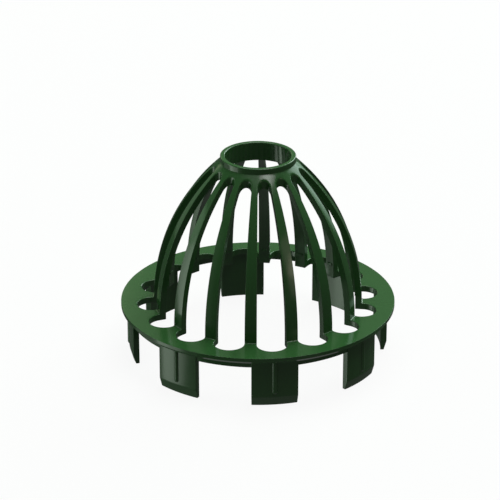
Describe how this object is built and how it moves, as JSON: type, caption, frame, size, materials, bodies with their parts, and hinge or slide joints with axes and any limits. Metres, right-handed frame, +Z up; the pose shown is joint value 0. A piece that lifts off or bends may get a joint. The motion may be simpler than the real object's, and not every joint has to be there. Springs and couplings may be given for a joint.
{
  "type": "gutter guard",
  "caption": "Domed leaf guard of slender ribs on a round slotted flange, with an open collar and sprung legs that push into the top of a rainwater pipe.",
  "frame": {"origin": "centre of the ring of legs at the level of their tips, on which the guard stands", "axes": "+Z up along the axis of the flange and dome, -Y through the middle of a slot and of a leg"},
  "size_m": [0.11, 0.11, 0.0841],
  "materials": {
    "green_plastic": "moulded, glossy"
  },
  "bodies": {
    "root": {"gutter_guard": "green_plastic"}
  },
  "joints": []
}
